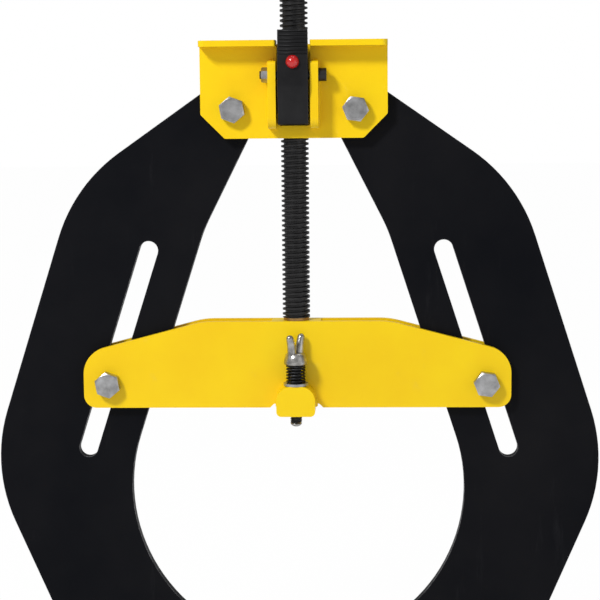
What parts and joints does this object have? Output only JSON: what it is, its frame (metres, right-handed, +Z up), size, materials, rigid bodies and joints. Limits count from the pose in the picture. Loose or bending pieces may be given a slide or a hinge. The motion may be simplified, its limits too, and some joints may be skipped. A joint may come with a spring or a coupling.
{
  "type": "pipe alignment clamp",
  "caption": "Screw-driven pipe alignment clamp: a crossbar with pins in slanted slots swings two curved jaw arms round a pipe, with wing screws to level the joint and a quick-release lever.",
  "frame": {"origin": "centre of the jaws' inner circle in the arms' mid-plane, on the pipe's axis", "axes": "+Z up along the lead screw, +X to the right seen from the lever side, -Y toward the release lever, +Y along the pipe"},
  "size_m": [0.6156, 0.0867, 0.8041],
  "materials": {
    "yellow_coat": "gloss powder coat",
    "black_coat": "satin powder coat",
    "zinc_plate": "zinc plated",
    "bronze": "machined",
    "black_oxide": "black oxide, oiled",
    "black_plastic": "moulded",
    "red_plastic": "gloss",
    "spring_steel": "blackened wire",
    "cast_stainless": "investment cast"
  },
  "bodies": {
    "bracket": {"bracket_front": "yellow_coat", "bracket_back": "yellow_coat", "screw_guide": "yellow_coat", "lever_ear_left": "yellow_coat", "lever_ear_right": "yellow_coat", "pivot_bushes": "bronze", "pivot_bolts": "zinc_plate", "pivot_nuts": "zinc_plate", "pivot_nut_washers": "zinc_plate", "pivot_spacers": "bronze", "lever_bolt": "black_oxide", "lever_nut": "zinc_plate"},
    "lever": {"release_lever": "black_plastic", "half_nut": "black_oxide", "red_cap": "red_plastic"},
    "crossbar": {"crossbar_front": "yellow_coat", "crossbar_back": "yellow_coat", "thrust_block": "yellow_coat", "thrust_washer": "bronze", "crossbar_lug_front": "yellow_coat", "crossbar_lug_back": "yellow_coat", "crossbar_seat_washers": "zinc_plate", "pin_bolts": "zinc_plate", "pin_nuts": "zinc_plate", "pin_nut_washers": "zinc_plate", "pin_spacers": "bronze"},
    "screw": {"lead_screw": "black_oxide", "retaining_ring": "zinc_plate", "screw_hub": "black_coat", "hub_pin": "zinc_plate"},
    "tommy": {"tommy_bar": "zinc_plate", "tommy_bar_ends": "zinc_plate"},
    "left_arm": {"jaw_arm_left": "black_coat", "jaw_left_lug_front": "black_coat", "jaw_left_lug_back": "black_coat", "jaw_left_seat_washers": "zinc_plate"},
    "right_arm": {"jaw_arm_right": "black_coat", "jaw_right_lug_front": "black_coat", "jaw_right_lug_back": "black_coat", "jaw_right_seat_washers": "zinc_plate"},
    "crossbar_spring_front_body": {"crossbar_spring_front": "spring_steel"},
    "crossbar_wing_front_body": {"crossbar_wing_screw_front": "cast_stainless"},
    "crossbar_spring_back_body": {"crossbar_spring_back": "spring_steel"},
    "crossbar_wing_back_body": {"crossbar_wing_screw_back": "cast_stainless"},
    "jaw_left_spring_front_body": {"jaw_left_spring_front": "spring_steel"},
    "jaw_left_wing_front_body": {"jaw_left_wing_screw_front": "cast_stainless"},
    "jaw_left_spring_back_body": {"jaw_left_spring_back": "spring_steel"},
    "jaw_left_wing_back_body": {"jaw_left_wing_screw_back": "cast_stainless"},
    "jaw_right_spring_front_body": {"jaw_right_spring_front": "spring_steel"},
    "jaw_right_wing_front_body": {"jaw_right_wing_screw_front": "cast_stainless"},
    "jaw_right_spring_back_body": {"jaw_right_spring_back": "spring_steel"},
    "jaw_right_wing_back_body": {"jaw_right_wing_screw_back": "cast_stainless"}
  },
  "joints": [
    {"name": "screw_turn", "type": "hinge", "parent": "crossbar", "child": "screw", "pos_m": [0, 0, 0.177], "axis": [0, 0, 1], "range_deg": [-4178, 3458]},
    {"name": "crossbar_slide", "type": "slide", "parent": "bracket", "child": "crossbar", "axis": [0, 0, 1], "range_m": [-0.058, 0.048]},
    {"name": "left_arm_swing", "type": "hinge", "parent": "bracket", "child": "left_arm", "pos_m": [-0.0615, 0, 0.3875], "axis": [0, 1, 0], "range_deg": [-3.28, 2.72]},
    {"name": "right_arm_swing", "type": "hinge", "parent": "bracket", "child": "right_arm", "pos_m": [0.0615, 0, 0.3875], "axis": [0, -1, 0], "range_deg": [-3.28, 2.72]},
    {"name": "release_lever_tilt", "type": "hinge", "parent": "bracket", "child": "lever", "pos_m": [0, -0.027, 0.4215], "axis": [-1, 0, 0], "range_deg": [0, 10], "stiffness_Nm_per_rad": 1, "springref_deg": -17.19},
    {"name": "tommy_bar_slide", "type": "slide", "parent": "screw", "child": "tommy", "axis": [1, 0, 0], "range_m": [-0.08, 0.08]},
    {"name": "crossbar_front_level", "type": "slide", "parent": "crossbar", "child": "crossbar_spring_front_body", "axis": [0, 0, -1], "range_m": [0, 0.004], "deforming": ["crossbar_spring_front"]},
    {"name": "crossbar_front_turn", "type": "hinge", "parent": "crossbar_spring_front_body", "child": "crossbar_wing_front_body", "pos_m": [0, -0.028, 0.0805], "axis": [0, 0, -1], "range_deg": [0, 830]},
    {"name": "crossbar_back_level", "type": "slide", "parent": "crossbar", "child": "crossbar_spring_back_body", "axis": [0, 0, -1], "range_m": [0, 0.004], "deforming": ["crossbar_spring_back"]},
    {"name": "crossbar_back_turn", "type": "hinge", "parent": "crossbar_spring_back_body", "child": "crossbar_wing_back_body", "pos_m": [0, 0.028, 0.0805], "axis": [0, 0, -1], "range_deg": [0, 830]},
    {"name": "jaw_left_front_level", "type": "slide", "parent": "left_arm", "child": "jaw_left_spring_front_body", "axis": [0.5, 0, 0.866], "range_m": [0, 0.004], "deforming": ["jaw_left_spring_front"]},
    {"name": "jaw_left_front_turn", "type": "hinge", "parent": "jaw_left_spring_front_body", "child": "jaw_left_wing_front_body", "pos_m": [-0.085, -0.028, -0.14722], "axis": [0.5, 0, 0.866], "range_deg": [0, 830]},
    {"name": "jaw_left_back_level", "type": "slide", "parent": "left_arm", "child": "jaw_left_spring_back_body", "axis": [0.5, 0, 0.866], "range_m": [0, 0.004], "deforming": ["jaw_left_spring_back"]},
    {"name": "jaw_left_back_turn", "type": "hinge", "parent": "jaw_left_spring_back_body", "child": "jaw_left_wing_back_body", "pos_m": [-0.085, 0.028, -0.14722], "axis": [0.5, 0, 0.866], "range_deg": [0, 830]},
    {"name": "jaw_right_front_level", "type": "slide", "parent": "right_arm", "child": "jaw_right_spring_front_body", "axis": [-0.5, 0, 0.866], "range_m": [0, 0.004], "deforming": ["jaw_right_spring_front"]},
    {"name": "jaw_right_front_turn", "type": "hinge", "parent": "jaw_right_spring_front_body", "child": "jaw_right_wing_front_body", "pos_m": [0.085, -0.028, -0.14722], "axis": [-0.5, 0, 0.866], "range_deg": [0, 830]},
    {"name": "jaw_right_back_level", "type": "slide", "parent": "right_arm", "child": "jaw_right_spring_back_body", "axis": [-0.5, 0, 0.866], "range_m": [0, 0.004], "deforming": ["jaw_right_spring_back"]},
    {"name": "jaw_right_back_turn", "type": "hinge", "parent": "jaw_right_spring_back_body", "child": "jaw_right_wing_back_body", "pos_m": [0.085, 0.028, -0.14722], "axis": [-0.5, 0, 0.866], "range_deg": [0, 830]}
  ],
  "couplings": [
    {"joint": "screw_turn", "follows": "crossbar_slide", "rad_per_m": 1256.6},
    {"joint": "left_arm_swing", "follows": "crossbar_slide", "rad_per_m": 0.984},
    {"joint": "right_arm_swing", "follows": "crossbar_slide", "rad_per_m": 0.984},
    {"joint": "crossbar_front_turn", "follows": "crossbar_front_level", "rad_per_m": 3590.4},
    {"joint": "crossbar_back_turn", "follows": "crossbar_back_level", "rad_per_m": 3590.4},
    {"joint": "jaw_left_front_turn", "follows": "jaw_left_front_level", "rad_per_m": 3590.4},
    {"joint": "jaw_left_back_turn", "follows": "jaw_left_back_level", "rad_per_m": 3590.4},
    {"joint": "jaw_right_front_turn", "follows": "jaw_right_front_level", "rad_per_m": 3590.4},
    {"joint": "jaw_right_back_turn", "follows": "jaw_right_back_level", "rad_per_m": 3590.4}
  ]
}
